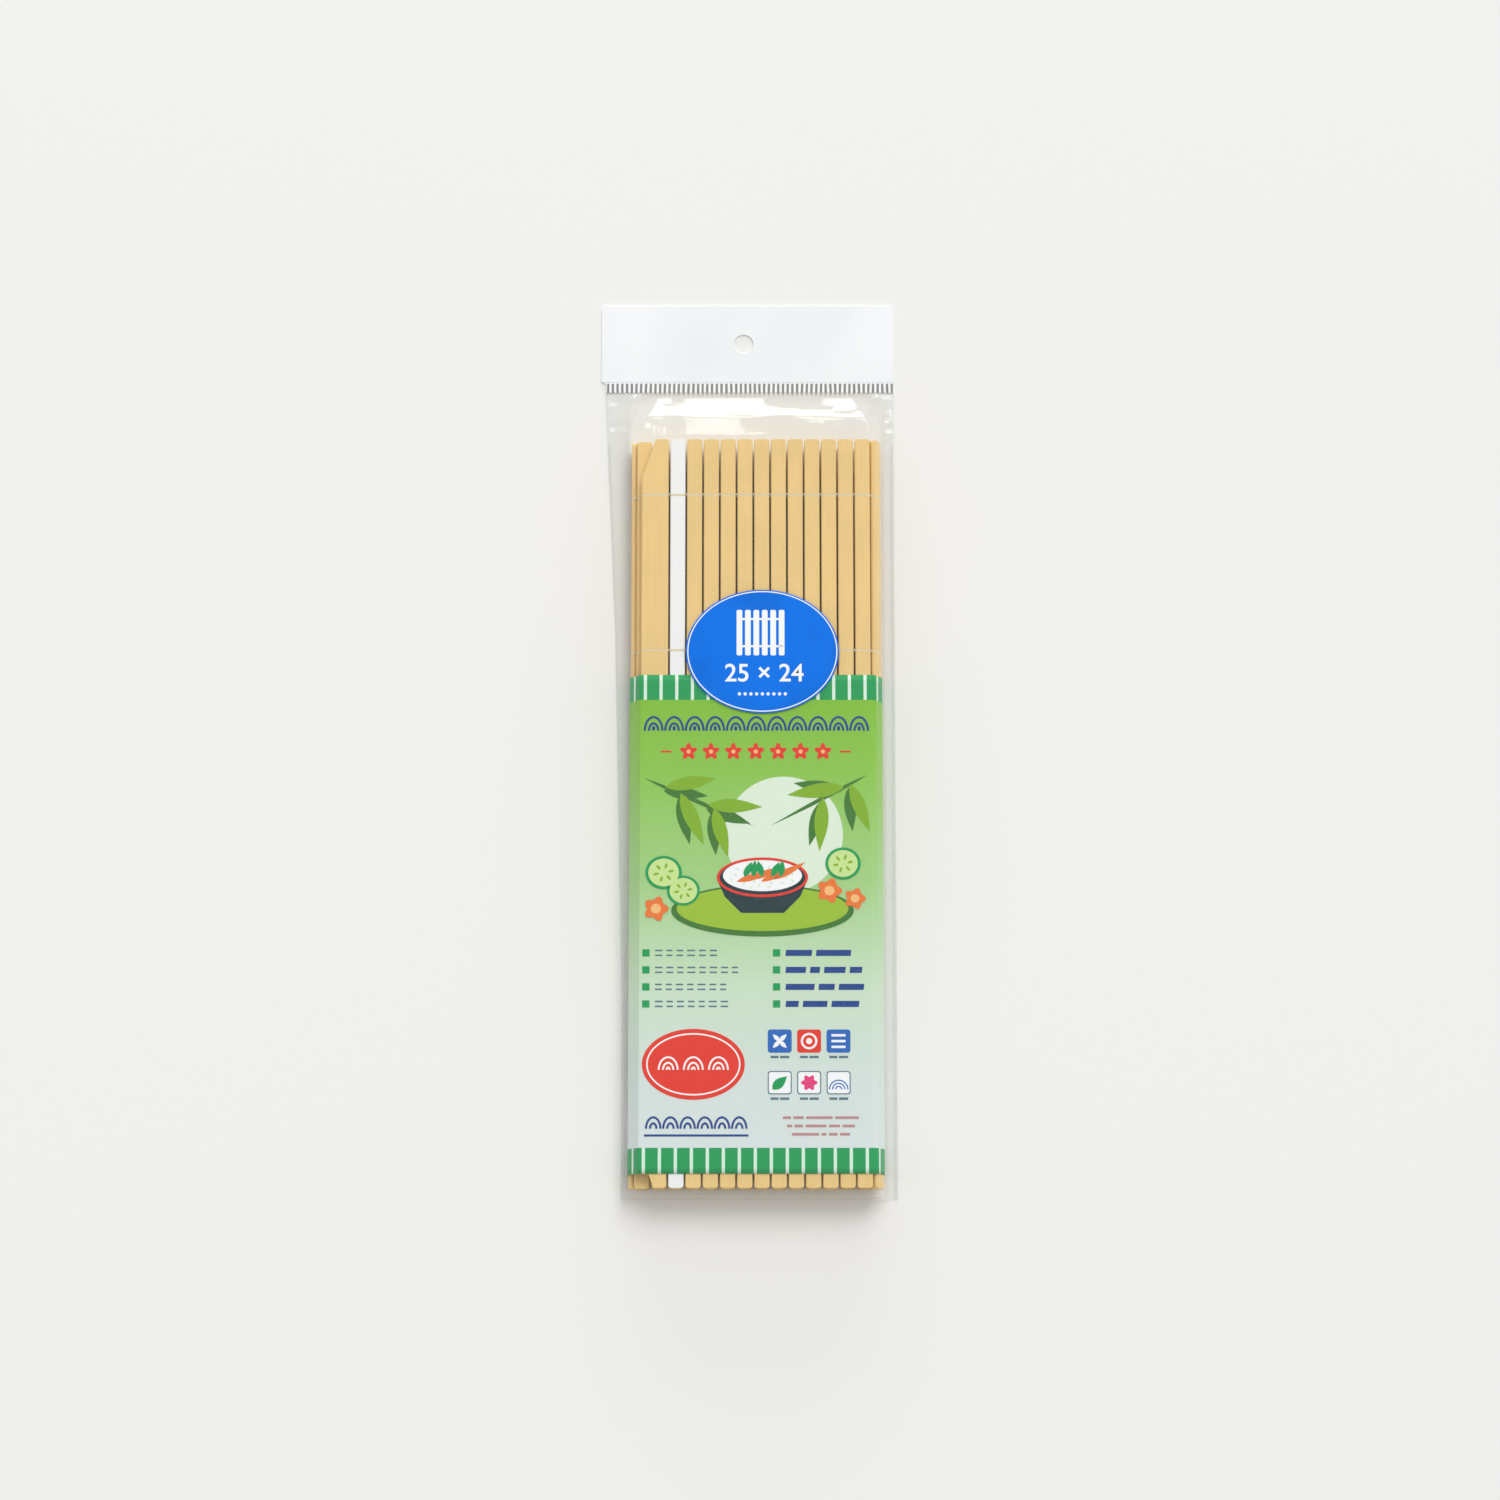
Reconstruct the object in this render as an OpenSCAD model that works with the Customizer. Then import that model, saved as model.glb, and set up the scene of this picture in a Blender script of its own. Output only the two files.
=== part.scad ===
// Sushi rolling mat of moulded slats tied with thread, folded in three in its retail pack.
// The pack lies on its back: +Z is up, the header and its hang hole point to +Y.
// Lengths are millimetres. The origin is the bottom centre of the whole pack.

/* [Slats] */
// Length of every slat
slat_length = 250; // [180:5:300]
// Distance from one thread hinge to the next
slat_pitch = 5.6; // [5.2:0.1:6.4]
// Open gap between neighbouring slats
slat_gap = 0.55; // [0.5:0.05:0.7]
// Thickness from the flat outer face to the rib
slat_height = 3.2; // [2.8:0.1:3.4]
// Width of the flat rib on the inner side
rib_width = 1.6; // [1.2:0.1:1.8]
// Depth of the thread hinge below the outer face
pivot_depth = 1; // [0.9:0.05:1.1]
// Radius along the two outer edges of a slat
edge_radius = 0.4; // [0.2:0.05:0.5]
// Radius at the ends of a slat, seen from above
end_radius = 0.9; // [0.4:0.1:1.4]

/* [Edge slat] */
// Width of the wide slat at the free edge
edge_slat_width = 9; // [7:0.5:11]
// Width of the slanted cut at its two corners
corner_cut_width = 4.7; // [2:0.1:5.5]
// Length of the slanted cut along the slat
corner_cut_length = 13.6; // [6:0.2:18]

/* [Threads] */
// Number of threads that tie the slats
thread_count = 5; // [3:1:7]
// Distance from one thread to the next
thread_step = 52.9; // [30:0.1:54]
// Width of a thread
thread_width = 0.66; // [0.5:0.02:0.8]
// Thickness of a thread where it lies on a slat
thread_height = 0.28; // [0.2:0.02:0.32]
// Radius of the twist between two slats
twist_radius = 0.22; // [0.16:0.01:0.24]
// Play between a thread and its groove
thread_play = 0.02; // [0.01:0.01:0.05]

/* [Fold] */
// Slack that lets the single slat of the left turn stand clear
turn_slack = 0.55; // [0.5:0.05:0.8]

/* [Paper band] */
// Thickness of the paper, drawn thick enough to model
paper_thickness = 0.25; // [0.15:0.05:0.3]
// Length of the band along the slats
band_length = 165; // [60:1:170]
// Distance from the lower slat ends to the band
band_inset = 4.5; // [2:0.1:20]
// Air between two layers that lie on each other
layer_gap = 0.12; // [0.08:0.01:0.15]

/* [Bag] */
// Whole length of the pack with its header
pack_length = 302.4; // [302.4:0.1:330]
// Film from the last hinge on the right to the bag's right edge
right_film = 8.2; // [6:0.1:14]
// Film beyond the mat's left side at the header
left_film_header = 10.65; // [9.05:0.05:16]
// Film beyond the mat's left side at the heat seal
left_film_seal = 9.05; // [6:0.05:10.65]
// Film beyond the mat's left side half way down
left_film_middle = 5.35; // [3:0.05:9]
// Film beyond the mat's left side at the lower end
left_film_low = 2.65; // [2.2:0.05:5]
// Thickness of the film, drawn thick enough to model
film_thickness = 0.3; // [0.2:0.05:0.3]
// Distance from the lower edge of the bag to the slat ends
bag_end_gap = 2.9; // [2:0.1:6]
// Room between the upper slat ends and the slope of the film
shoulder_gap = 1.3; // [0.8:0.1:3]
// Width of the weld along each side
weld_width = 1; // [0.6:0.1:1.4]
// Height of the weld above the film
weld_height = 0.12; // [0.06:0.02:0.16]
// Gap between a weld and the raised part of the front film
weld_gap = 0.15; // [0.1:0.05:0.2]

/* [Header] */
// Height of the header above its fold line
header_height = 26.6; // [20:0.1:30]
// Thickness of the header
header_thickness = 0.5; // [0.3:0.05:0.5]
// Corner radius of the header
header_radius = 0.8; // [0.4:0.1:3]
// Radius of the hang hole
hang_radius = 3.35; // [2.5:0.05:5]
// Hang hole's distance from the top edge of the header
hang_from_top = 13.3; // [8:0.1:16]
// Hang hole's distance left of the centre line
hang_left = 1.3; // [0:0.1:4]
// Length of the heat seal under the header
seal_length = 3.1; // [2:0.1:5]
// Distance from one rib of the seal to the next
seal_pitch = 1.6; // [1.2:0.1:2.4]
// Height of the seal's ribs
seal_rib_height = 0.2; // [0.1:0.02:0.3]
// Half of the flexible gap between the seal and the header
fold_gap = 0.3; // [0.28:0.01:0.5]

/* [Sticker] */
// Width of the oval sticker
sticker_width = 50.8; // [30:0.1:60]
// Height of the oval sticker
sticker_length = 41.7; // [25:0.1:50]
// Thickness of the sticker
sticker_thickness = 0.15; // [0.1:0.01:0.2]
// Sticker centre's distance right of the centre line
sticker_x = 5; // [0:0.1:10]
// Sticker centre's distance above the middle of the pack
sticker_y = 29.1; // [20:0.1:50]

/* [Hidden] */
// Slats in the upper layer, the lower layer and the inner layer
top_count = 13;
base_count = 14;
inner_count = 12;
first_turn = top_count + 1;
first_base = top_count + 3;
left_turn = first_base + base_count;
slat_total = left_turn + inner_count;

slat_width = slat_pitch - slat_gap;
flank_draft = (slat_width - rib_width) / 2;
groove_depth = thread_height + 2 * thread_play;
arc_steps = 2;
seal_overlap = 0.1;

// Heights of the layers, from the table up
base_face_z = film_thickness + paper_thickness + 2 * layer_gap;
base_pivot_z = base_face_z + pivot_depth;
top_pivot_z = base_pivot_z + 2 * slat_pitch * sin(60);
top_face_z = top_pivot_z + pivot_depth;

// How far each wrapping lies outside the slats
paper_in = layer_gap;
paper_out = paper_in + paper_thickness;
film_in = paper_out + layer_gap;
film_out = film_in + film_thickness;
pack_top_z = top_face_z + film_out;

// Places across the pack
mat_width = base_count * slat_pitch + pivot_depth + turn_slack;
pack_width = right_film + mat_width + left_film_header;
bag_right_x = pack_width / 2;
bag_left_x = -pack_width / 2;
turn_x = bag_right_x - right_film;
mat_left_x = turn_x - mat_width;
seal_left_x = mat_left_x - left_film_seal;

// Places along the pack
bag_low_y = -pack_length / 2;
header_top_y = pack_length / 2;
header_low_y = header_top_y - header_height;
fold_y = header_low_y - fold_gap;
seal_top_y = fold_y - fold_gap;
seal_low_y = seal_top_y - seal_length;
mat_low_y = bag_low_y + bag_end_gap;
mat_mid_y = mat_low_y + slat_length / 2;
mat_top_y = mat_low_y + slat_length;
shoulder_y = mat_top_y + shoulder_gap;
band_low_y = mat_low_y + band_inset;

function slat_name(n) =
    n == 1 ? "edge_slat" : n == 2 ? "marker_slat" : str("slat_", n < 10 ? "0" : "", n);

// Direction of slat n, in degrees down from +X: the mat runs right, turns down, runs left, turns up, runs right
function slat_angle(n) =
    n <= top_count ? 0
    : n < first_base ? 60 * (n - top_count)
    : n < left_turn ? 180
    : n == left_turn ? 270
    : 360;

// Thread hinge after slat n, as x and z
function hinge_at(n) =
    n <= top_count
    ? [turn_x - (top_count - n) * slat_pitch, top_pivot_z]
    : hinge_at(n - 1) + slat_pitch * [cos(slat_angle(n)), -sin(slat_angle(n))];

function slat_width_of(n) = n == 1 ? edge_slat_width : slat_width;

function arc(centre, radius, from, to) =
    [for (i = [0:arc_steps])
        let (a = from + (to - from) * i / arc_steps)
        centre + radius * [cos(a), sin(a)]];

function mirrored(points) = [for (i = [len(points) - 1:-1:0]) [-points[i].x, points[i].y]];

// Section of a slat drawn in by a depth on every side, with its outer face at the top
function slat_outline(width, depth) =
    let (
        half = width / 2 - depth,
        right = concat(
            arc([half - edge_radius, -depth - edge_radius], edge_radius, 90, 0),
            [[half, -pivot_depth], [half - flank_draft, depth - slat_height]]
        )
    )
    concat(right, mirrored(right));

// Slat seen from above, with rounded ends
function slat_plan(width) =
    let (
        x = width / 2 - end_radius,
        y = slat_length / 2 - end_radius,
        upper = concat(arc([x, y], end_radius, 0, 90), arc([-x, y], end_radius, 90, 180))
    )
    concat(upper, [for (p = upper) -p]);

// Edge slat seen from above: both corners of its free side are cut on a slant
function edge_slat_plan() =
    let (
        half = edge_slat_width / 2,
        y = slat_length / 2
    )
    concat(
        arc([half - end_radius, y - end_radius], end_radius, 0, 90),
        [[corner_cut_width - half, y], [-half, y - corner_cut_length]],
        [[-half, corner_cut_length - y], [corner_cut_width - half, -y]],
        arc([half - end_radius, end_radius - y], end_radius, 270, 360)
    );

module along_y(from, to) {
    translate([0, to, 0])
        rotate([90, 0, 0])
            linear_extrude(to - from)
                children();
}

module place_slat(n) {
    hinge = hinge_at(max(n, 2) - 1);
    along = n == 1 ? -(edge_slat_width + slat_gap) / 2 : slat_pitch / 2;
    translate([hinge.x - (n == left_turn ? turn_slack : 0), mat_mid_y, hinge.y])
        rotate([0, slat_angle(n), 0])
            translate([along, 0, pivot_depth])
                children();
}

module at_threads() {
    for (i = [0:thread_count - 1])
        translate([0, (i - (thread_count - 1) / 2) * thread_step, 0])
            children();
}

module thread_groove(width) {
    reach = thread_width / 2 + thread_play;
    along_y(-reach, reach)
        difference() {
            translate([-width, -2 * slat_height])
                square([2 * width, 3 * slat_height]);
            polygon(slat_outline(width, groove_depth));
        }
}

module slat(n) {
    width = slat_width_of(n);
    color(n == 2 ? "#F4F3EE" : "#E3C588")
        place_slat(n)
            difference() {
                intersection() {
                    along_y(-slat_length / 2, slat_length / 2)
                        polygon(slat_outline(width, 0));
                    translate([0, 0, -2 * slat_height])
                        linear_extrude(3 * slat_height)
                            polygon(n == 1 ? edge_slat_plan() : slat_plan(width));
                }
                at_threads()
                    thread_groove(width);
            }
}

// One turn of thread round a slat, lying in its groove
module thread_loop(width) {
    along_y(-thread_width / 2, thread_width / 2)
        difference() {
            polygon(slat_outline(width, thread_play));
            polygon(slat_outline(width, thread_play + thread_height));
        }
}

// The twist of the two strands in the gap after slat n, on the hinge's axis
module thread_twist(n) {
    beside_left_turn = n == left_turn || n == left_turn - 1;
    hinge = hinge_at(n);
    translate([hinge.x - (beside_left_turn ? turn_slack / 2 : 0), mat_mid_y, hinge.y])
        at_threads()
            rotate([90, 0, 0])
                cylinder(h = thread_width, r = twist_radius, center = true, $fn = 24);
}

module threads(first, last) {
    color("#EDE7D6") {
        for (n = [first:last])
            place_slat(n)
                at_threads()
                    thread_loop(slat_width_of(n));
        for (n = [first:min(last, slat_total - 1)])
            thread_twist(n);
    }
}

// Outer bound of the folded mat, in x and z
module mat_section() {
    half_gap = slat_gap / 2;
    run = slat_pitch - half_gap;
    right = hinge_at(top_count);
    left = hinge_at(left_turn - 1);
    low_corner = [right.x + half_gap * cos(60) + pivot_depth * sin(60),
        base_pivot_z + half_gap * sin(60) - pivot_depth * cos(60)];
    side_corner = [right.x + run * cos(60) + pivot_depth * sin(60),
        base_pivot_z + run * sin(60) - pivot_depth * cos(60)];
    mirror_z = base_pivot_z + top_pivot_z;
    polygon([
        [left.x + half_gap, base_face_z],
        [right.x - half_gap, base_face_z],
        low_corner,
        side_corner,
        [side_corner.x, mirror_z - side_corner.y],
        [low_corner.x, mirror_z - low_corner.y],
        [right.x - half_gap, top_face_z],
        [hinge_at(1).x - half_gap - edge_slat_width, top_face_z],
        [mat_left_x, left.y + run],
        [mat_left_x, left.y + half_gap]
    ]);
}

module wrap_section(distance) {
    offset(r = distance, $fn = 24)
        mat_section();
}

// The flat part of a wrapping under the mat
module below_mat(length_from, length_to, low_z, high_z, margin) {
    left_x = hinge_at(left_turn - 1).x + slat_gap / 2;
    right_x = turn_x - slat_gap / 2;
    translate([left_x - margin, length_from, low_z])
        cube([right_x - left_x + 2 * margin, length_to - length_from, high_z - low_z]);
}

module band_back() {
    low_z = base_face_z - paper_out;
    color("#DCE8B4")
        below_mat(band_low_y, band_low_y + band_length, low_z, base_face_z - paper_in, 0);
}

module band_front() {
    color("#DCE8B4")
        difference() {
            along_y(band_low_y, band_low_y + band_length)
                difference() {
                    wrap_section(paper_out);
                    wrap_section(paper_in);
                }
            below_mat(band_low_y - 1, band_low_y + band_length + 1, 0, base_face_z, 0);
        }
}

// The bag laid flat, seen from above: its left edge is drawn in by the mat
module bag_plan(inset = 0) {
    polygon([
        [bag_right_x - inset, bag_low_y],
        [bag_right_x - inset, seal_low_y],
        [seal_left_x + inset, seal_low_y],
        [mat_left_x - left_film_middle + inset, mat_mid_y + slat_length / 4],
        [mat_left_x - left_film_low + inset, mat_mid_y - slat_length / 4],
        [mat_left_x - left_film_low + inset, bag_low_y]
    ]);
}

module bag_back() {
    color("#E9ECEA", 0.6)
        linear_extrude(film_thickness)
            bag_plan();
}

// Form under the front film: a tunnel over the mat that spreads between the welds and slopes down to the seal
module front_form(distance, drop, seal_z, inset) {
    intersection() {
        hull() {
            for (z = [0, -drop])
                translate([0, 0, z])
                    along_y(bag_low_y + inset, shoulder_y)
                        wrap_section(distance);
            translate([seal_left_x + inset, seal_low_y - 2 * inset, film_thickness - drop])
                cube([bag_right_x - seal_left_x - 2 * inset, inset + seal_overlap, seal_z + drop]);
        }
        translate([0, 0, -pack_top_z])
            linear_extrude(3 * pack_top_z)
                bag_plan(weld_width + weld_gap + inset);
    }
}

module bag_front() {
    color("#EEF1EF", 0.45)
        difference() {
            union() {
                front_form(film_out, 0, film_thickness, 0);
                translate([0, 0, film_thickness])
                    linear_extrude(film_thickness)
                        bag_plan();
            }
            front_form(film_in, film_thickness, film_thickness / 4, film_thickness);
            translate([-pack_width, -pack_length, film_thickness - pack_top_z])
                cube([2 * pack_width, 2 * pack_length, pack_top_z]);
            translate([-pack_width, seal_low_y, 0])
                cube([2 * pack_width, pack_length, pack_top_z]);
        }
}

module weld_left() {
    color("#F6F8F7")
        translate([0, 0, 2 * film_thickness])
            linear_extrude(weld_height)
                difference() {
                    bag_plan();
                    translate([weld_width, 0])
                        bag_plan();
                    translate([-pack_width, shoulder_y])
                        square([2 * pack_width, pack_length]);
                }
}

module weld_right() {
    color("#F6F8F7")
        translate([bag_right_x - weld_width, bag_low_y, 2 * film_thickness])
            cube([weld_width, shoulder_y - bag_low_y, weld_height]);
}

module crimp_seal() {
    width = bag_right_x - seal_left_x;
    rib_count = floor(width / seal_pitch);
    first_rib_x = seal_left_x + (width - (rib_count - 0.5) * seal_pitch) / 2;
    seal_z = 2 * film_thickness;
    color("#F2F4F3") {
        translate([seal_left_x, seal_low_y, 0])
            cube([width, seal_length, seal_z]);
        for (i = [0:rib_count - 1])
            translate([first_rib_x + i * seal_pitch, seal_low_y, seal_z])
                cube([seal_pitch / 2, seal_length, seal_rib_height]);
    }
}

module header() {
    x = bag_right_x - header_radius;
    corners = concat(
        arc([x, header_top_y - header_radius], header_radius, 0, 90),
        arc([-x, header_top_y - header_radius], header_radius, 90, 180),
        [[bag_left_x, header_low_y], [bag_right_x, header_low_y]]
    );
    color("#F5F6F6")
        difference() {
            linear_extrude(header_thickness)
                polygon(corners);
            translate([-hang_left, header_top_y - hang_from_top, -header_thickness])
                cylinder(h = 3 * header_thickness, r = hang_radius, $fn = 64);
        }
}

module size_sticker() {
    sides = 60;
    color("#0A73E0")
        translate([sticker_x, sticker_y, pack_top_z])
            linear_extrude(sticker_thickness)
                polygon([for (i = [0:sides - 1])
                    let (a = 360 * i / sides)
                    [sticker_width / 2 * cos(a), sticker_length / 2 * sin(a)]]);
}

for (n = [1:slat_total])
    slat(n);
threads(1, top_count);  // threads_top
threads(first_turn, first_turn);  // threads_upper_turn
threads(first_turn + 1, first_turn + 1);  // threads_lower_turn
threads(first_base, left_turn - 1);  // threads_base
threads(left_turn, slat_total);  // threads_inner
band_front();
band_back();
bag_front();
bag_back();
weld_left();
weld_right();
crimp_seal();
header();
size_sticker();
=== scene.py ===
import math

import bmesh
import bpy
from mathutils import Matrix, Vector, noise


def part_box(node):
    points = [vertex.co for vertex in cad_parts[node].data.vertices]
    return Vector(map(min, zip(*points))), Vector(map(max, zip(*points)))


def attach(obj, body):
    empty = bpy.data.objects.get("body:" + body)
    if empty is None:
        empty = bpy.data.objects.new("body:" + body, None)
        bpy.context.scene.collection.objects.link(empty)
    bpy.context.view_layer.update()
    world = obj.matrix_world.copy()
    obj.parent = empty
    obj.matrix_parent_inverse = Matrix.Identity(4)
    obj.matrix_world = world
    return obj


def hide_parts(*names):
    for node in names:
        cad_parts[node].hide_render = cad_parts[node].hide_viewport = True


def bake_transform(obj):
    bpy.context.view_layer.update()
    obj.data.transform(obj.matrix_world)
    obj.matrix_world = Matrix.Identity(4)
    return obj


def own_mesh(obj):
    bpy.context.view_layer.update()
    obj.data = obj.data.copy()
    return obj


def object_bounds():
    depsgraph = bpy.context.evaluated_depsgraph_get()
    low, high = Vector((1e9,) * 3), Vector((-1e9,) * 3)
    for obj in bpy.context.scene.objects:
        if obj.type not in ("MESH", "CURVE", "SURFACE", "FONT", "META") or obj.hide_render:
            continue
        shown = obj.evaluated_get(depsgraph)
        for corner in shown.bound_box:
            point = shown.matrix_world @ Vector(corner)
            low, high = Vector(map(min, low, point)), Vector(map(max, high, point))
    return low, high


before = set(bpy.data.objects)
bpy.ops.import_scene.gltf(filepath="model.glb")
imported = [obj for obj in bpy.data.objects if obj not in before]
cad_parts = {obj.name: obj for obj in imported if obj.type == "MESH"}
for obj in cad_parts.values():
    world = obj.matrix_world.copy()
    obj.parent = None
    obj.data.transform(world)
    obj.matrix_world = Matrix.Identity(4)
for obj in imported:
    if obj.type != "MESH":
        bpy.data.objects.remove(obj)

bl_info = {
    "name": "Packed Sushi Mat",
    "version": (1, 0, 0),
    "blender": (4, 5, 0),
    "location": "3D View > Sidebar > Sushi Mat",
    "description": "Dresses a folded sushi rolling mat, its paper band and its clear bag",
    "category": "Object",
}

CAD_LOW, CAD_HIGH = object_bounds()
MM = 0.001
SLAT_COUNT = 42
FIRST_INNER = 31
TOP_LAYER = ["edge_slat", "marker_slat"] + [f"slat_{n:02d}" for n in range(3, 14)]
THREAD_NODES = ["threads_top", "threads_upper_turn", "threads_lower_turn", "threads_base", "threads_inner"]


def srgb(red, green, blue):
    """A screen colour from 0 to 255 as the linear colour that shaders use."""
    def linear(value):
        share = value / 255
        return share / 12.92 if share <= 0.04045 else ((share + 0.055) / 1.055) ** 2.4
    return (linear(red), linear(green), linear(blue))


SLAT_COLOUR = srgb(238, 203, 131)
MARKER_COLOUR = srgb(245, 246, 244)
THREAD_COLOUR = srgb(246, 232, 192)
GREEN = srgb(0, 158, 84)
STRIPE_GAP = srgb(222, 246, 228)
STICKER_BLUE = srgb(0, 116, 232)
WHITE = srgb(246, 248, 248)
INKS = {
    "navy": srgb(18, 66, 140), "blue": srgb(28, 104, 190), "red": srgb(232, 52, 30), "green": GREEN,
    "leaf": srgb(132, 180, 30), "lime": srgb(158, 196, 48), "moss": srgb(62, 122, 42),
    "mint": srgb(226, 242, 220), "pale_green": srgb(206, 232, 150), "white": srgb(250, 252, 252),
    "dark": srgb(16, 52, 58), "slate": srgb(88, 120, 134), "orange": srgb(238, 122, 48),
    "peach": srgb(250, 194, 124), "pink": srgb(232, 60, 128), "rose": srgb(190, 140, 138),
}
LEVEL_STEP = 0.018 * MM
SHAPE_STEP = 0.0001 * MM
INK_THICKNESS = 0.012 * MM


def colour_property(name, description, default):
    return bpy.props.FloatVectorProperty(
        name=name, description=description, default=default, subtype="COLOR", min=0.0, max=1.0, size=3)


def length_property(name, description, default):
    return bpy.props.FloatProperty(
        name=name, description=description, default=default, unit="LENGTH", subtype="DISTANCE", min=0.0)


class SushiMatSettings(bpy.types.PropertyGroup):
    """Sizes and colours of the mat and its pack that a user would change."""
    slat_colour: colour_property("Slats", "Colour of the moulded slats", SLAT_COLOUR)
    marker_colour: colour_property("Marker slat", "Colour of the marker slat", MARKER_COLOUR)
    thread_colour: colour_property("Thread", "Colour of the threads", THREAD_COLOUR)
    sticker_colour: colour_property("Sticker", "Colour of the oval sticker", STICKER_BLUE)
    stripe_colour: colour_property("Stripes", "Colour of the band's stripes", GREEN)
    strand_radius: length_property("Strand radius", "Radius of one strand of a thread", 0.13 * MM)
    twist_reach: length_property("Twist length", "Length of a thread's twist between two slats", 1.3 * MM)
    stripe_pitch: length_property("Stripe pitch", "Distance from one stripe to the next", 5.2 * MM)
    stripe_gap: length_property("Stripe gap", "White gap between two stripes", 1.05 * MM)
    stripe_height: length_property("Stripe height", "Height of each striped border", 8.4 * MM)
    film_wave: length_property("Film wave", "Depth of the soft waves over the mat", 0.07 * MM)
    shoulder_crease: length_property("Shoulder creases", "Depth of the creases above the mat", 1.1 * MM)
    camera_distance: length_property("Camera distance", "Distance of the camera from the pack", 1.4)


def settings():
    return bpy.context.scene.sushi_mat


class Term:
    """A shader socket that takes part in sums, products and comparisons."""

    def __init__(self, shader, socket):
        self.shader = shader
        self.socket = socket

    def _math(self, operation, *values):
        inputs = dict(enumerate(values))
        return self.shader.add("ShaderNodeMath", {"operation": operation}, inputs)

    def __add__(self, other):
        return self._math("ADD", self, other)

    def __radd__(self, other):
        return self._math("ADD", other, self)

    def __sub__(self, other):
        return self._math("SUBTRACT", self, other)

    def __rsub__(self, other):
        return self._math("SUBTRACT", other, self)

    def __mul__(self, other):
        return self._math("MULTIPLY", self, other)

    def __rmul__(self, other):
        return self._math("MULTIPLY", other, self)

    def __truediv__(self, other):
        return self._math("DIVIDE", self, other)

    def __lt__(self, other):
        return self._math("LESS_THAN", self, other)

    def __gt__(self, other):
        return self._math("GREATER_THAN", self, other)

    def wrapped(self, length):
        return self._math("FLOORED_MODULO", self, length)

    def powered(self, exponent):
        return self._math("POWER", self, exponent)

    def clamped(self):
        return self.shader.add("ShaderNodeClamp", {}, {"Value": self})

    def softened(self, low, high):
        """0 below low, 1 above high and smooth between them."""
        return self.shader.add(
            "ShaderNodeMapRange", {"interpolation_type": "SMOOTHSTEP"},
            {"Value": self, "From Min": low, "From Max": high})


class Finish:
    """One material and the nodes that make it."""

    def __init__(self, name):
        self.material = bpy.data.materials.new(name)
        self.material.use_nodes = True
        self.tree = self.material.node_tree
        self.tree.nodes.clear()
        self.output = self.tree.nodes.new("ShaderNodeOutputMaterial")

    def add(self, kind, options=None, inputs=None, output=0):
        node = self.tree.nodes.new(kind)
        for key, value in (options or {}).items():
            if key == "stops":
                self._set_stops(node.color_ramp, value)
            else:
                setattr(node, key, value)
        for key, value in (inputs or {}).items():
            if isinstance(value, Term):
                self.tree.links.new(value.socket, node.inputs[key])
            else:
                node.inputs[key].default_value = value
        return Term(self, node.outputs[output])

    @staticmethod
    def _set_stops(ramp, stops):
        while len(ramp.elements) < len(stops):
            ramp.elements.new(1.0)
        for element, (position, colour) in zip(ramp.elements, stops):
            element.position = position
            element.color = (*colour, 1.0)

    def place(self):
        return self.add("ShaderNodeTexCoord", output="Object")

    def axes(self, vector):
        return [self.add("ShaderNodeSeparateXYZ", {}, {0: vector}, output=i) for i in range(3)]

    def scaled(self, vector, scale):
        return self.add("ShaderNodeMapping", {}, {"Vector": vector, "Scale": scale})

    def grain(self, vector, scale, detail=3.0, roughness=0.5):
        inputs = {"Vector": vector, "Scale": scale, "Detail": detail, "Roughness": roughness}
        return self.add("ShaderNodeTexNoise", {}, inputs, output="Fac")

    def blend(self, factor, first, second):
        def filled(colour):
            return colour if isinstance(colour, Term) else (*colour, 1.0)
        inputs = {0: factor, 6: filled(first), 7: filled(second)}
        return self.add("ShaderNodeMix", {"data_type": "RGBA"}, inputs, output=2)

    def relief(self, height, depth, strength=1.0):
        return self.add("ShaderNodeBump", {}, {"Height": height, "Distance": depth, "Strength": strength})

    def surface(self, **inputs):
        named = {key.replace("_", " ").title().replace("Ior", "IOR"): value for key, value in inputs.items()}
        base = named.get("Base Color")
        if base is not None and not isinstance(base, Term):
            named["Base Color"] = (*base, 1.0)
        return self.add("ShaderNodeBsdfPrincipled", {}, named)

    def mixed(self, factor, first, second):
        return self.add("ShaderNodeMixShader", {}, {0: factor, 1: first, 2: second})

    def clear(self, colour):
        return self.add("ShaderNodeBsdfTransparent", {}, {"Color": (*colour, 1.0)})

    def close(self, surface):
        self.tree.links.new(surface.socket, self.output.inputs["Surface"])
        return self.material


def moulded_plastic(name, colour, variation):
    """Satin plastic with fine drawn lines along the slat and a faint mottle."""
    finish = Finish(name)
    place = finish.place()
    lines = finish.grain(finish.scaled(place, (1.0, 0.02, 1.0)), 2600.0, 2.0)
    mottle = finish.grain(place, 60.0, 3.0)
    dark = tuple(channel * (1.0 - variation) for channel in colour)
    light = tuple(min(1.0, channel * (1.0 + variation)) for channel in colour)
    base = finish.blend((lines * 0.5 + mottle * 0.5).softened(0.3, 0.7), dark, light)
    rough = 0.36 + lines * 0.12
    return finish.close(finish.surface(
        base_color=base, roughness=rough, normal=finish.relief(lines, 0.00003)))


def twined_thread(colour):
    """Pale thread whose fibres run on a slant."""
    finish = Finish("twined_thread")
    x, y, _ = finish.axes(finish.place())
    fibre = ((x + y) / 0.00028).wrapped(1.0)
    ridge = (fibre - 0.5) * (fibre - 0.5) * 4.0
    base = finish.blend(ridge, tuple(0.85 * channel for channel in colour), colour)
    return finish.close(finish.surface(
        base_color=base, roughness=0.62, normal=finish.relief(1.0 - ridge, 0.00005)))


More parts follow.
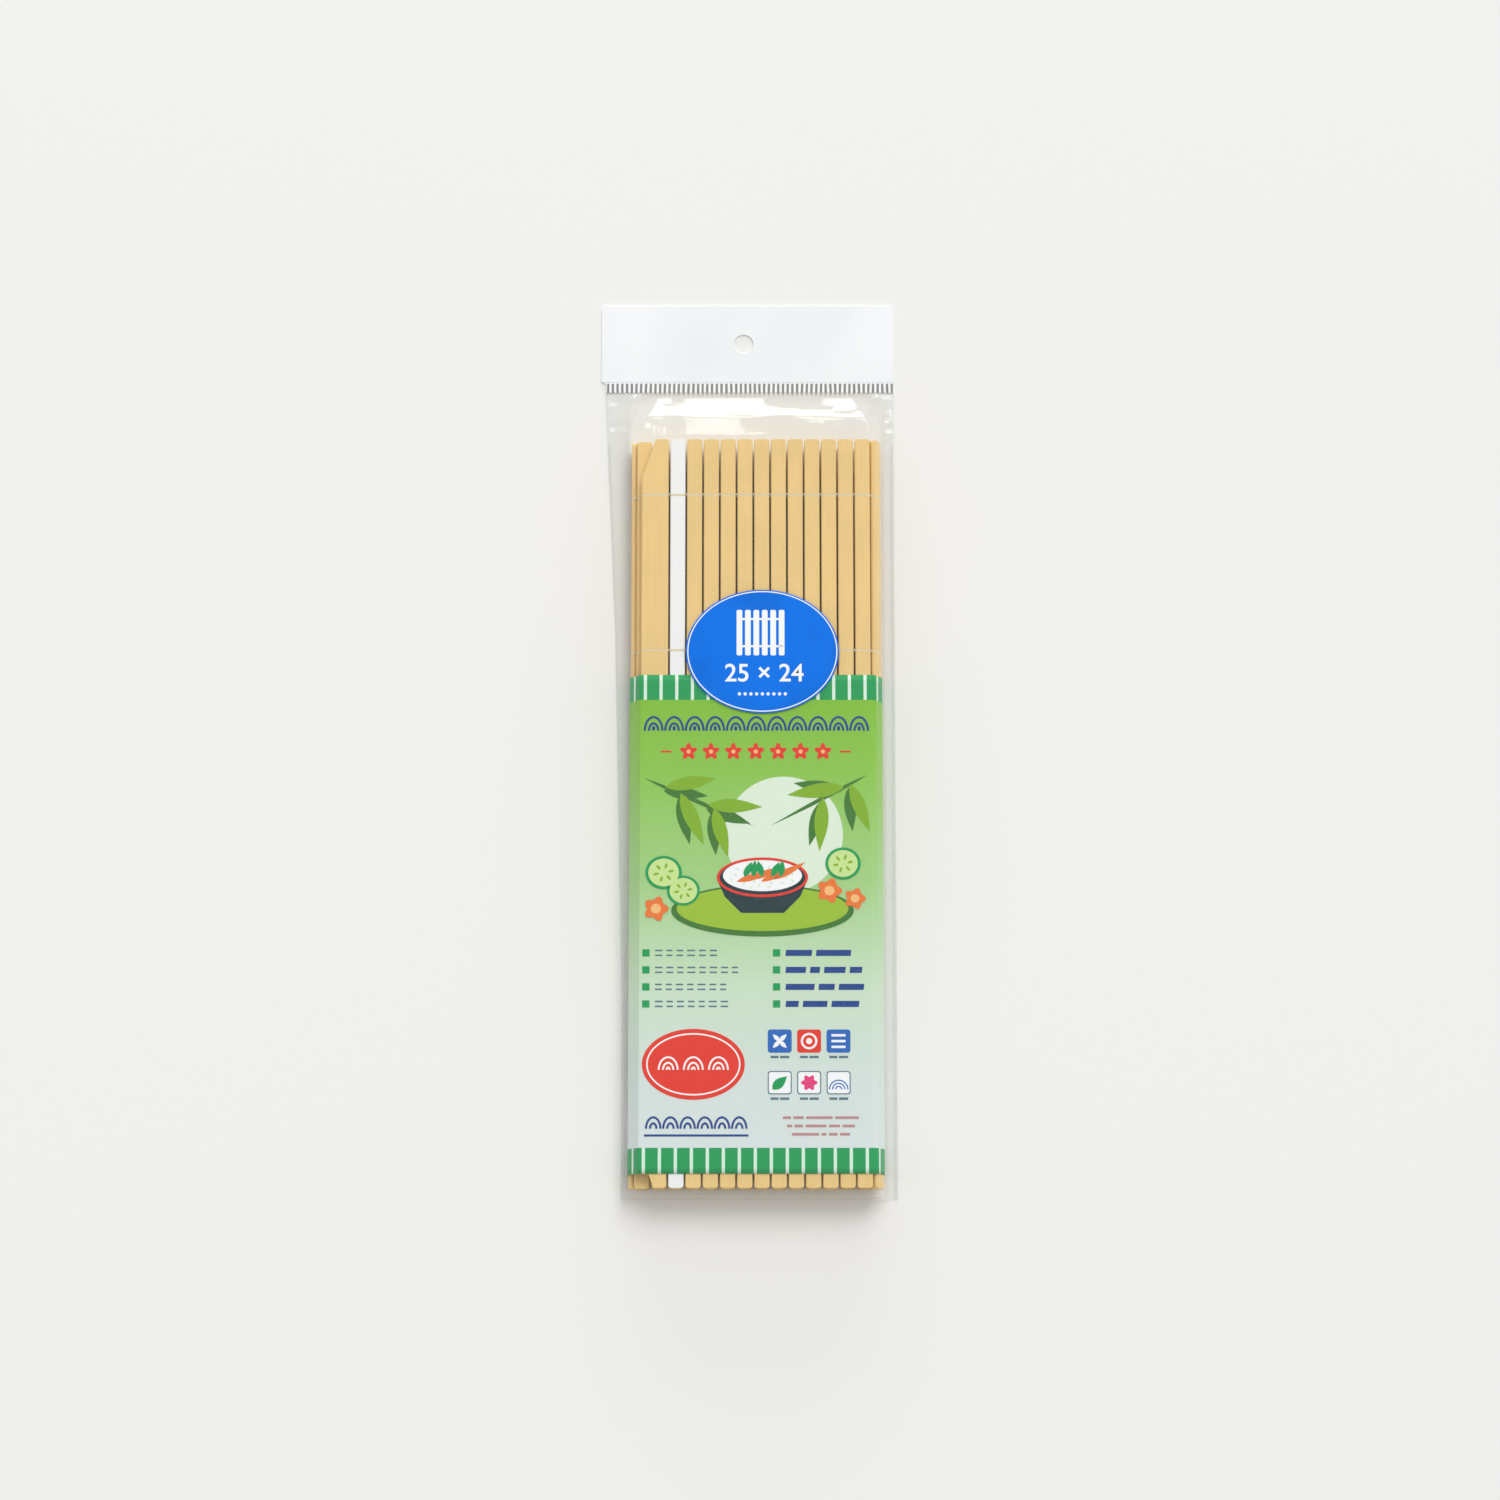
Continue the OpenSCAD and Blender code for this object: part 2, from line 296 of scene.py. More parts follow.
def printed_paper(low_y, high_y, options):
    """Coated paper: a leaf green that fades to pale mint, with a striped border at each end."""
    finish = Finish("printed_paper")
    across, along, _ = finish.axes(finish.add("ShaderNodeUVMap", {"uv_map": "length"}))
    share = (along - low_y) / (high_y - low_y)
    fade = finish.add("ShaderNodeValToRGB", {"stops": [
        (0.0, srgb(222, 231, 231)), (0.18, srgb(216, 229, 224)), (0.36, srgb(206, 229, 202)),
        (0.58, srgb(166, 212, 134)), (0.80, srgb(142, 200, 74)), (1.0, srgb(126, 190, 24))]}, {"Fac": share})
    height = options.stripe_height
    inside = (along > low_y + height) * (along < high_y - height)
    stripe = across.wrapped(options.stripe_pitch) > options.stripe_gap
    border = finish.blend(stripe, STRIPE_GAP, tuple(options.stripe_colour))
    fibres = finish.grain(finish.place(), 900.0, 4.0)
    speckle = finish.grain(finish.place(), 5200.0, 1.0)
    printed = finish.blend(inside, border, fade)
    base = finish.blend(fibres * 0.02, printed, WHITE)
    return finish.close(finish.surface(
        base_color=base, roughness=0.34 + speckle * 0.1, specular_ior_level=0.2,
        normal=finish.relief(fibres, 0.00004)))


def ink_finish(name, colour):
    """Offset ink on coated paper, a little uneven."""
    finish = Finish(f"{name}_ink")
    density = finish.grain(finish.place(), 1400.0, 3.0)
    pale = tuple(0.85 * channel + 0.15 for channel in colour)
    base = finish.blend(density.softened(0.45, 0.9) * 0.4, colour, pale)
    return finish.close(finish.surface(
        base_color=base, roughness=0.32 + density * 0.08, specular_ior_level=0.2))


def clear_film(name, tint, haze, gloss, near_table_sheen=0.0):
    """Thin clear film: it mirrors the lamps and is a little milky where it creases. Near the table it is
    whiter still: painted sheen that stands in for the lamps' reflections in the crumpled film and lightens
    the shade the mat casts there.
    """
    finish = Finish(name)
    place = finish.place()
    crinkle = finish.grain(finish.scaled(place, (1.0, 0.35, 1.0)), 160.0, 3.0, 0.5)
    normal = finish.relief(crinkle, 0.00025, 0.3)
    mirror = finish.surface(base_color=(1.0, 1.0, 1.0), metallic=1.0, roughness=0.07, normal=normal)
    milk_and_sheen = finish.surface(base_color=srgb(240, 242, 240), roughness=0.4)
    facing = finish.add("ShaderNodeLayerWeight", {}, {"Blend": 0.5}, output="Facing")
    shine = (gloss + facing.powered(5.0) * 0.6).clamped()
    creased = crinkle.softened(0.62, 0.8)
    _, _, height = finish.axes(place)
    # Painted sheen: the film turns whiter near the table in place of reflections from its crumpled margins,
    # and this lifts the mat's shade there.
    low = 1.0 - height.softened(0.7 * MM, 3.0 * MM)
    see_through = finish.mixed(shine, finish.clear(tint), mirror)
    return finish.close(finish.mixed((1.0 + creased) * haze + low * near_table_sheen, see_through, milk_and_sheen))


def ribbed_seal():
    """Heat seal in fine white ribs, with painted shade: grey stripes between the ribs stand in for the shade
    in their grooves.
    """
    finish = Finish("ribbed_seal")
    place = finish.place()
    x, _, _ = finish.axes(place)
    uneven = finish.grain(place, 160.0, 2.0)
    rib = ((x + uneven * 0.0006) / 0.0016).wrapped(1.0)
    unshaded_crest = (rib < 0.5).clamped()
    # Painted shade: the grey between the ribs is where the grooves are in shade.
    base = finish.blend(unshaded_crest, srgb(142, 142, 140), srgb(244, 245, 244))
    return finish.close(finish.surface(base_color=base, roughness=0.22, normal=finish.relief(uneven, 0.0001)))


def header_film():
    """Opaque white film with a soft sheen and barely visible waves."""
    finish = Finish("header_film")
    place = finish.place()
    waves = finish.grain(finish.scaled(place, (1.0, 0.6, 1.0)), 28.0, 2.0)
    base = finish.blend(waves.softened(0.35, 0.65), srgb(235, 239, 241), srgb(243, 245, 246))
    return finish.close(finish.surface(
        base_color=base, roughness=0.3, normal=finish.relief(waves, 0.0006, 0.6)))


def floor_finish():
    """Pale floor with a faint mottle."""
    finish = Finish("pale_floor")
    mottle = finish.grain(finish.place(), 3.0, 1.0)
    base = finish.blend(mottle * 0.3, srgb(240, 239, 235), srgb(238, 237, 233))
    return finish.close(finish.surface(base_color=base, roughness=0.9, specular_ior_level=0.0))


def new_piece(name, bm, material, body, replaced=()):
    """Turns a bmesh into a piece that rides on a body."""
    mesh = bpy.data.meshes.new(name)
    bm.to_mesh(mesh)
    bm.free()
    mesh.materials.append(material)
    piece = bpy.data.objects.new(name, mesh)
    bpy.context.scene.collection.objects.link(piece)
    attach(piece, body)
    if replaced:
        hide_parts(*replaced)
    return piece


def paint(node, material):
    """Gives a CAD node its material."""
    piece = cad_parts[node]
    if not piece.material_slots:
        piece.data.materials.append(material)
    for material_slot in piece.material_slots:
        material_slot.material = material


def lay_flat(piece):
    """Gives the piece its own copy of its mesh."""
    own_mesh(piece)


def thicken(piece, thickness):
    solidify = piece.modifiers.new("thickness", "SOLIDIFY")
    solidify.thickness = thickness
    solidify.offset = -1.0


def smooth_shade(piece):
    for polygon in piece.data.polygons:
        polygon.use_smooth = True


def mat_outline():
    """Corners of the folded mat's section, as x and z, clockwise from its lower left."""
    left_low, left_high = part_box("slat_30")
    right_low, right_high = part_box("slat_14")
    lower_right_low, lower_right_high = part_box("slat_15")
    top_low, top_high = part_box("edge_slat")
    last_low, last_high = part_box("slat_13")
    base_low, base_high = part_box("slat_16")
    base_end_low, base_end_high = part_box("slat_29")
    middle = (right_low.z + lower_right_high.z) / 2
    reach = 0.74 * MM
    knuckle = 1.25 * MM
    return [
        Vector((base_end_low.x, base_low.z)),
        Vector((left_low.x, left_low.z)),
        Vector((left_low.x, left_high.z)),
        Vector((top_low.x, top_high.z)),
        Vector((last_high.x, top_high.z)),
        Vector((last_high.x + knuckle, top_high.z - 0.6 * knuckle)),
        Vector((right_high.x, middle + reach)),
        Vector((right_high.x, middle - reach)),
        Vector((last_high.x + knuckle, base_low.z + 0.6 * knuckle)),
        Vector((base_high.x, base_low.z)),
    ]


def wrap_line(distance, step=12):
    """The section's outline at a distance, with round corners, open along the bottom."""
    corners = mat_outline()
    count = len(corners)
    line = []
    for i, corner in enumerate(corners):
        before = corner - corners[i - 1]
        after = corners[(i + 1) % count] - corner
        start = math.degrees(math.atan2(before.x, -before.y))
        turn = math.degrees(before.angle_signed(after))
        pieces = max(1, math.ceil(abs(turn) / step))
        for k in range(pieces + 1):
            angle = math.radians(start - abs(turn) * k / pieces)
            line.append(corner + distance * Vector((math.cos(angle), math.sin(angle))))
    return line


def divided(line, longest):
    """The line with points added so that no stretch is longer than asked."""
    points = [line[0]]
    for a, b in zip(line, line[1:]):
        pieces = max(1, math.ceil((b - a).length / longest))
        points += [a.lerp(b, k / pieces) for k in range(1, pieces + 1)]
    return points


def lengths_along(line):
    total = [0.0]
    for a, b in zip(line, line[1:]):
        total.append(total[-1] + (b - a).length)
    return total


def smoothstep(low, high, value):
    share = min(1.0, max(0.0, (value - low) / (high - low)))
    return share * share * (3 - 2 * share)


def woven_grid(columns, rows, place):
    """A grid whose points go where place(column, row) says, with its UV map in metres of sheet."""
    bm = bmesh.new()
    bmesh.ops.create_grid(bm, x_segments=columns, y_segments=rows, size=0.5)
    layer = bm.loops.layers.uv.new("length")
    known = {}
    for vertex in bm.verts:
        column = round((vertex.co.x + 0.5) * columns)
        row = round((vertex.co.y + 0.5) * rows)
        vertex.co, known[vertex] = place(column, row)
    for face in bm.faces:
        for loop in face.loops:
            loop[layer].uv = known[loop.vert]
    bmesh.ops.recalc_face_normals(bm, faces=bm.faces)
    return bm


class SUSHIMAT_OT_slats(bpy.types.Operator):
    """Finish the moulded slats and the white marker slat"""
    bl_idname = "sushimat.slats"
    bl_label = "Slats"

    def execute(self, context):
        plain = moulded_plastic("slat_plastic", tuple(settings().slat_colour), 0.05)
        marker = moulded_plastic("marker_plastic", tuple(settings().marker_colour), 0.01)
        for name in TOP_LAYER + [f"slat_{n:02d}" for n in range(14, SLAT_COUNT + 1)]:
            paint(name, marker if name == "marker_slat" else plain)
        return {"FINISHED"}


def bridge(bm, loops):
    """Joins each ring of points to the next."""
    bmesh.ops.recalc_face_normals(bm, faces=bm.faces)
    for first, second in zip(loops, loops[1:]):
        both = {*first, *second}
        edges = {edge for vertex in both for edge in vertex.link_edges if edge.other_vert(vertex) in both}
        bmesh.ops.bridge_loops(bm, edges=list(edges))
    bmesh.ops.recalc_face_normals(bm, faces=bm.faces)


def strand_twist(radius, reach, strands=2, steps=8, sides=6):
    """Two strands that wind round each other across a gap, as one mesh at the origin."""
    bm = bmesh.new()
    swing = 1.25 * radius
    for strand in range(strands):
        rings = []
        for k in range(steps + 1):
            share = k / steps
            angle = 2 * math.pi * (share + strand / strands)
            centre = Vector(((share - 0.5) * reach, swing * math.cos(angle), swing * math.sin(angle)))
            lay = Matrix.Translation(centre) @ Matrix.Rotation(math.pi / 2, 4, "Y")
            ring = bmesh.ops.create_circle(
                bm, segments=sides, radius=radius, matrix=lay, cap_ends=k in (0, steps))
            rings.append(ring["verts"])
        bridge(bm, rings)
    mesh = bpy.data.meshes.new("one_twist")
    bm.to_mesh(mesh)
    bm.free()
    return mesh


class SUSHIMAT_OT_threads(bpy.types.Operator):
    """Finish the threads and wind their strands across the gaps between slats"""
    bl_idname = "sushimat.threads"
    bl_label = "Threads"

    def execute(self, context):
        thread = twined_thread(tuple(settings().thread_colour))
        for name in THREAD_NODES:
            paint(name, thread)
        twist = strand_twist(settings().strand_radius, settings().twist_reach)
        inner = [f"slat_{n:02d}" for n in range(FIRST_INNER, SLAT_COUNT + 1)]
        self.wind("twists_top", TOP_LAYER, "top_layer", twist, thread)
        self.wind("twists_inner", inner, "mat_base", twist, thread)
        bpy.data.meshes.remove(twist)
        return {"FINISHED"}

    def wind(self, name, slats, body, twist, material):
        low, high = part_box("threads_top")
        count = 5
        bm = bmesh.new()
        for left, right in zip(slats, slats[1:]):
            _, left_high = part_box(left)
            right_low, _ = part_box(right)
            x = (left_high.x + right_low.x) / 2
            for i in range(count):
                y = low.y + (high.y - low.y) * i / (count - 1)
                start = len(bm.verts)
                bm.from_mesh(twist)
                bm.verts.ensure_lookup_table()
                bmesh.ops.translate(bm, verts=bm.verts[start:], vec=(x, y, left_high.z - 0.2 * MM))
        smooth_shade(new_piece(name, bm, material, body))


class SUSHIMAT_OT_band(bpy.types.Operator):
    """Wrap the printed paper band round the mat"""
    bl_idname = "sushimat.band"
    bl_label = "Paper band"

    def execute(self, context):
        low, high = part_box("band_front")
        line = divided(wrap_line(0.3 * MM), 3.0 * MM)
        lengths = lengths_along(line)
        rows = 80

        def place(column, row):
            y = low.y + (high.y - low.y) * row / rows
            point = line[column]
            lift = 0.03 * MM * noise.noise(Vector((point.x * 60, y * 40, 2.0)))
            return Vector((point.x, y, point.y + lift)), (lengths[column], y)

        paper = printed_paper(low.y, high.y, settings())
        bm = woven_grid(len(line) - 1, rows, place)
        sheet = new_piece("paper_band", bm, paper, "band", ["band_front"])
        thicken(sheet, 0.05 * MM)
        smooth_shade(sheet)
        lay_flat(sheet)
        paint("band_back", ink_finish("band_back", srgb(206, 226, 198)))
        return {"FINISHED"}


class Ink:
    """All flat shapes printed in one colour, as one thin piece. Shapes are given in millimetres."""

    def __init__(self, name, colour, body, slot, base_z):
        self.name, self.colour, self.body, self.slot, self.base_z = name, colour, body, slot, base_z
        self.level = self.count = 0
        self.bm = bmesh.new()

    def at(self, level):
        """The next shapes lie on this level of the print."""
        self.level = level
        return self

    @property
    def low(self):
        return self.base_z + self.level * LEVEL_STEP + self.count * SHAPE_STEP

    def outline(self, points):
        self.bm.faces.new([self.bm.verts.new((x * MM, y * MM, self.low)) for x, y in points])

    def shape(self, points):
        """A shape that lies a hair above the one before, so that no two share a plane."""
        self.count += 1
        self.outline(points)

    def bar(self, x, y, width, height, slant=0.0):
        half_w, half_h = width / 2, height / 2
        self.shape([(x - half_w - slant, y - half_h), (x + half_w - slant, y - half_h),
                    (x + half_w + slant, y + half_h), (x - half_w + slant, y + half_h)])

    def tile(self, x, y, width, height, corner):
        points = []
        for cx, cy, start in ((1, 1, 0), (-1, 1, 90), (-1, -1, 180), (1, -1, 270)):
            for k in range(5):
                angle = math.radians(start + 90 * k / 4)
                points.append((x + cx * (width / 2 - corner) + corner * math.cos(angle),
                               y + cy * (height / 2 - corner) + corner * math.sin(angle)))
        self.shape(points)

    def oval(self, x, y, radius_x, radius_y, turn=0.0, sides=48):
        self.count += 1
        lay = (Matrix.Translation((x * MM, y * MM, self.low)) @ Matrix.Rotation(math.radians(turn), 4, "Z")
               @ Matrix.Diagonal((radius_x * MM, radius_y * MM, 1.0, 1.0)))
        bmesh.ops.create_circle(self.bm, cap_ends=True, radius=1.0, segments=sides, matrix=lay)

    def ring(self, x, y, radius_x, radius_y, width, sweep=360.0, sides=64):
        self.count += 1
        pieces = max(8, round(sides * sweep / 360))
        for k in range(pieces):
            a, b = (math.radians(sweep * (k + step) / pieces) for step in (0, 1))
            inner_x, inner_y = radius_x - width, radius_y - width
            self.outline([(x + inner_x * math.cos(a), y + inner_y * math.sin(a)),
                          (x + radius_x * math.cos(a), y + radius_y * math.sin(a)),
                          (x + radius_x * math.cos(b), y + radius_y * math.sin(b)),
                          (x + inner_x * math.cos(b), y + inner_y * math.sin(b))])

    def wave(self, x, y, radii, stretch, width):
        """A wave of nested half rings."""
        for radius in radii:
            self.ring(x, y, radius, radius * stretch, width, sweep=180, sides=36)

    def leaf(self, x, y, length, width, turn):
        """A pointed leaf that starts at x, y and runs in the direction of turn."""
        steps = 10
        side = []
        for k in range(1, steps):
            share = k / steps
            side.append((length * share, width / 2 * math.sin(math.pi * share ** 0.8)))
        outline = [(0, 0)] + [(a, -b) for a, b in side] + [(length, 0)] + side[::-1]
        c, s = math.cos(math.radians(turn)), math.sin(math.radians(turn))
        self.shape([(x + a * c - b * s, y + a * s + b * c) for a, b in outline])

    def flower(self, x, y, radius, petals, depth, turn=0.0):
        """A round flower whose outline dips between its petals."""
        points = []
        for k in range(12 * petals):
            angle = 2 * math.pi * k / (12 * petals)
            size = radius * (1 - depth + depth * math.cos(petals * angle))
            place = angle + math.radians(turn)
            points.append((x + size * math.cos(place), y + size * math.sin(place)))
        self.shape(points)

    def dashes(self, x, y, height, widths, gap, slant=0.0):
        """A row of plain bars, one for each width."""
        for width in widths:
            self.bar(x + width / 2, y, width, height, slant)
            x += width + gap

    def finish(self, flat_height):
        bmesh.ops.remove_doubles(self.bm, verts=self.bm.verts, dist=SHAPE_STEP / 2)
        for face in self.bm.faces:
            face.normal_update()
            if face.normal.z < 0:
                face.normal_flip()
        top = bmesh.ops.extrude_face_region(self.bm, geom=self.bm.faces[:])
        raised = [item for item in top["geom"] if isinstance(item, bmesh.types.BMVert)]
        bmesh.ops.translate(self.bm, verts=raised, vec=(0, 0, INK_THICKNESS))
        bmesh.ops.recalc_face_normals(self.bm, faces=self.bm.faces)
        piece = new_piece(self.name, self.bm, ink_finish(self.name, self.colour), self.body)
        lay_flat(piece)


class SUSHIMAT_OT_band_print(bpy.types.Operator):
    """Print the band: ornament rows, a bowl among leaves, rows of bars, an oval and small tiles"""
    bl_idname = "sushimat.band_print"
    bl_label = "Band print"

    def execute(self, context):
        _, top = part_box("edge_slat")
        self.inks = {name: Ink(f"print_{name}", colour, "band", "band_paper", top.z + 0.33 * MM)
                     for name, colour in INKS.items()}
        self.ornament_rows()
        self.leaves()
        self.bowl()
        self.vegetables()
        self.bullet_rows()
        self.oval_mark()
        self.tiles()
        self.foot_rows()
        for ink in self.inks.values():
            ink.finish(0.73 * MM)
        return {"FINISHED"}

    def ornament_rows(self):
        """A navy row of waves over a row of small red blossoms."""
        navy, red, peach = self.inks["navy"].at(0), self.inks["red"].at(0), self.inks["peach"].at(1)
        for k in range(11):
            x = -31.0 + 6.8 * k
            navy.wave(x, 2.4, (3.3, 1.9), 1.5, 0.75)
            navy.oval(x, 3.2, 0.55, 0.8, sides=16)
        for x in (-26.8, 32.4):
            red.bar(x, -4.6, 3.6, 0.6)
        for k in range(7):
            x = -19.4 + 7.4 * k
            red.flower(x, -4.6, 2.9, 5, 0.22, turn=90)
            peach.oval(x, -4.6, 0.7, 0.7, sides=20)

    def leaves(self):
        """A pale moon behind two sprays of bamboo leaves."""
        self.inks["mint"].at(0).oval(12.0, -32.5, 19.5, 19.5, sides=72)
        moss, leaf = self.inks["moss"].at(1), self.inks["leaf"].at(2)
        for x, y, length, turn in ((-34.0, -13.5, 40.0, -24.0), (39.5, -12.5, 36.0, 208.0)):
            moss.leaf(x, y, length, 1.4, turn)
        spray = ((-27.0, -16.5, 17.0, 4.4, 10.0), (-22.0, -18.5, 19.0, 4.8, -66.0),
                 (-13.0, -22.5, 18.0, 4.6, -2.0), (-11.0, -23.5, 17.0, 4.6, -74.0),
                 (32.0, -16.5, 19.0, 4.8, 188.0), (25.0, -20.0, 18.0, 4.6, 266.0),
                 (34.0, -15.5, 17.0, 4.4, 292.0))
        for k, (x, y, length, width, turn) in enumerate(spray):
            leaf.leaf(x, y, length, width, turn)
            moss.leaf(x - 0.6, y - 1.2, length * 0.86, width * 0.9, turn - 17 + 6 * (k % 2))

    def bowl(self):
        """A bowl of rice with salmon and herbs on a green tray."""
        x, rim_y = 5.0, -46.6
        self.inks["moss"].at(3).oval(x, -57.6, 30.0, 8.6, sides=72)
        self.inks["lime"].at(4).oval(x, -57.0, 28.2, 7.4, sides=72)
        dark = self.inks["dark"].at(5)
        dark.oval(x, rim_y, 15.0, 6.6)
        dark.shape([(x - 14.9, -47.2), (x + 14.9, -47.2), (x + 12.4, -53.0), (x + 7.0, -58.4),
                    (x - 7.0, -58.4), (x - 12.4, -53.0)])
        self.inks["red"].at(6).ring(x, rim_y, 15.0, 6.6, 0.9, sides=72)
        self.inks["white"].at(6).oval(x, -46.0, 13.0, 5.2)
        grains = self.inks["mint"].at(7)
        for k in range(30):
            angle, radius = k * 2.4, math.sqrt((k + 0.5) / 30)
            grains.oval(x + 11.6 * radius * math.cos(angle), -46.0 + 4.4 * radius * math.sin(angle),
                        0.8, 0.34, turn=40 * k, sides=10)
        salmon, herbs = self.inks["orange"].at(8), self.inks["green"].at(9)
        for k in range(4):
            salmon.leaf(-3.5 + 4.0 * k, -48.0 + 0.7 * (k % 2), 12.0, 2.2, 16.0 + 4 * k)
        for k in range(5):
            herbs.leaf(-1.0 + 3.0 * k, -46.4, 5.6, 2.2, 62.0 + 22 * (k % 3))

    def vegetables(self):
        """Slices of cucumber and of carrot cut as blossoms."""
        rind, flesh = self.inks["green"].at(7), self.inks["pale_green"].at(8)
        seeds = self.inks["leaf"].at(9)
        for x, y, radius in ((-27.5, -45.0, 6.0), (-21.0, -51.0, 5.4), (31.5, -42.0, 5.8)):
            rind.oval(x, y, radius, radius * 0.92)
            flesh.oval(x, y, radius * 0.84, radius * 0.77)
            for k in range(6):
                angle = math.radians(60 * k + 12)
                seeds.oval(x + radius * 0.42 * math.cos(angle), y + radius * 0.38 * math.sin(angle),
                           radius * 0.16, radius * 0.07, turn=60 * k + 12, sides=12)
        carrot, core = self.inks["orange"].at(8), self.inks["peach"].at(9)
        for x, y, radius in ((-30.0, -57.0, 4.2), (27.0, -51.0, 4.2), (35.4, -53.6, 3.6)):
            carrot.flower(x, y, radius, 5, 0.14)
            core.oval(x, y, radius * 0.4, radius * 0.38, sides=24)

    def bullet_rows(self):
        """Two columns of green squares, each with a row of plain bars."""
        green, navy, slate = (self.inks[name].at(0) for name in ("green", "navy", "slate"))
        rows = (-71.6, -77.2, -82.8, -88.4)
        bold = ((8.6, 11.4), (6.6, 3.2, 7.0, 4.0), (9.4, 5.2, 8.2), (4.2, 8.0, 9.0))
        thin = ((2.4, 2.0, 2.2, 2.6, 2.2, 2.4), (2.4, 2.3, 2.0, 2.6, 2.1, 2.4, 2.3, 2.0),
                (2.2, 2.0, 2.4, 2.1, 2.6, 2.2, 2.0), (2.5, 2.1, 2.3, 2.2, 2.0, 2.6, 2.4))
        for y, bold_widths, thin_widths in zip(rows, bold, thin):
            green.bar(9.6, y, 2.4, 2.4)
            navy.dashes(12.6, y, 2.0, bold_widths, 1.4, 0.12)
            green.bar(-33.2, y, 2.4, 2.4)
            for offset in (0.8, -0.8):
                slate.dashes(-30.2, y + offset, 0.5, thin_widths, 1.3)

    def oval_mark(self):
        """A red oval with a thin white ring and three waves."""
        x, y = -17.6, -108.2
        self.inks["red"].at(1).oval(x, y, 16.8, 11.6, sides=72)
        white = self.inks["white"].at(2)
        white.ring(x, y, 15.4, 10.2, 0.5, sides=72)
        for offset in (-8.2, 0.0, 8.2):
            white.wave(x + offset, y - 1.8, (3.4, 2.0, 0.8), 1.3, 0.6)

    def tiles(self):
        """Six small tiles with plain shapes in them."""
        columns, upper, lower = (10.6, 20.2, 29.8), -100.6, -114.2
        slate, white = self.inks["slate"].at(1), self.inks["white"].at(2)
        for x, ink in zip(columns, ("blue", "red", "blue")):
            self.inks[ink].at(1).tile(x, upper, 7.8, 7.6, 0.9)
            slate.tile(x, lower, 7.8, 7.6, 0.9)
            white.tile(x, lower, 7.1, 6.9, 0.7)
            for y in (upper, lower):
                slate.dashes(x - 3.0, y - 5.2, 0.75, (2.6, 3.0), 0.5)
        for k in range(4):
            white.leaf(columns[0], upper, 3.2, 1.4, 45 + 90 * k)
        white.ring(columns[1], upper, 2.7, 2.7, 0.7, sides=40)
        white.oval(columns[1], upper, 1.0, 1.0, sides=20)
        for offset in (-1.9, 0.0, 1.9):
            white.bar(columns[2], upper + offset, 4.6, 0.8)
        self.inks["green"].at(3).leaf(columns[0] - 2.4, lower - 2.2, 6.4, 3.2, 42)
        self.inks["pink"].at(3).flower(columns[1], lower, 2.7, 6, 0.16)
        self.inks["blue"].at(3).wave(columns[2], lower - 2.2, (3.2, 2.2, 1.2), 1.0, 0.4)

    def foot_rows(self):
        """Three rows of thin bars, and a row of waves over a line."""
        rose, navy = self.inks["rose"].at(1), self.inks["navy"].at(1)
        rows = ((-125.6, (2.6, 3.4, 8.6, 7.8)), (-128.3, (1.6, 2.8, 6.8, 3.6, 4.0)),
                (-131.0, (8.8, 1.6, 2.8, 3.2)))
        for y, widths in rows:
            total = sum(widths) + 0.8 * (len(widths) - 1)
            rose.dashes(24.0 - total / 2, y, 0.85, widths, 0.8)
        for k in range(6):
            navy.wave(-30.6 + 5.6 * k, -129.2, (2.7, 1.4), 1.5, 0.7)
        navy.bar(-16.6, -131.4, 34.0, 0.7)


